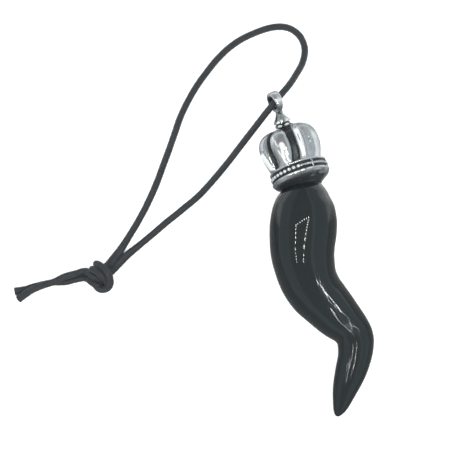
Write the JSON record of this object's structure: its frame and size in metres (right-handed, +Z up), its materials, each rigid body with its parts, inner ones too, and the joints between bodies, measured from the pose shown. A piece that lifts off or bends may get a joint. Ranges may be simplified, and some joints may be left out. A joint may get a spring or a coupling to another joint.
{
  "type": "cornicello horn pendant",
  "caption": "Glossy black S-curved horn pendant in an antiqued silver crown cap with a cast ring, on a knotted loop of waxed cord.",
  "frame": {"origin": "centre of the footprint of the horn and its cap as they lie, on the surface", "axes": "+Y along the pendant towards the ring, +Z up from the surface, +X to the right seen from above with the ring at the top"},
  "size_m": [0.0795, 0.087, 0.017],
  "materials": {
    "horn": "black cast resin, polished",
    "cap_metal": "silver plate over a zinc casting, blackened in the recesses",
    "cord": "waxed cotton cord, black"
  },
  "bodies": {
    "root": {"horn": "horn", "crown_cap": "cap_metal", "cord_long_side": "cord", "cord_short_side": "cord", "cord_knot": "cord", "cord_tail_over": "cord", "cord_tail_under": "cord"}
  },
  "joints": []
}
